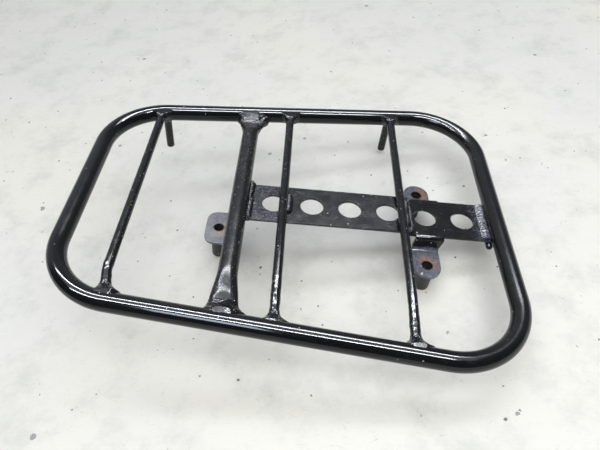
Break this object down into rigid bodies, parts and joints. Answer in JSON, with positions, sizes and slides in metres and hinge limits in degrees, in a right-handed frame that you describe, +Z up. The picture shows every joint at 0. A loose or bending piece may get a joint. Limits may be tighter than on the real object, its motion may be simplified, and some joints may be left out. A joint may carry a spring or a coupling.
{
  "type": "motorcycle luggage rack",
  "caption": "Tubular luggage rack: tapered tube loop with cross bars, a perforated centre strap, bolt-down tabs on spacers and hook pegs.",
  "frame": {"origin": "under the middle of the loop, level with the lower face of the front spacer, which is the lowest point", "axes": "+X towards the wide rear end, +Y towards the right hand side, +Z up, at right angles to the carrying plane"},
  "size_m": [0.3848, 0.3076, 0.0829],
  "materials": {
    "gloss_black_paint": "gloss",
    "satin_black_paint": "satin, chipped",
    "painted_weld": "gloss over rippled weld",
    "worn_bracket": "paint worn to blue-grey steel with light rust",
    "spacer_steel": "dark, dull, slightly rusted"
  },
  "bodies": {
    "root": {"outer_loop": "gloss_black_paint", "front_rod": "satin_black_paint", "cross_tube": "gloss_black_paint", "middle_rod": "satin_black_paint", "rear_rod": "satin_black_paint", "perforated_strap": "satin_black_paint", "front_mount_tab": "worn_bracket", "rear_mount_bracket": "worn_bracket", "front_spacer": "spacer_steel", "rear_spacer_left": "spacer_steel", "rear_spacer_right": "spacer_steel", "front_hook_peg": "satin_black_paint", "rear_hook_peg": "satin_black_paint", "rear_cross_pin": "satin_black_paint", "front_rod_weld_left": "painted_weld", "front_rod_weld_right": "painted_weld", "cross_tube_weld_left": "painted_weld", "cross_tube_weld_right": "painted_weld", "middle_rod_weld_left": "painted_weld", "middle_rod_weld_right": "painted_weld", "rear_rod_weld_left": "painted_weld", "rear_rod_weld_right": "painted_weld", "strap_front_weld": "painted_weld", "strap_middle_weld": "painted_weld", "strap_rod_weld": "painted_weld", "strap_lap_weld": "painted_weld", "bracket_rear_weld": "painted_weld", "front_tab_weld": "painted_weld", "front_peg_weld": "painted_weld", "rear_peg_weld": "painted_weld", "cross_pin_weld": "painted_weld"}
  },
  "joints": []
}
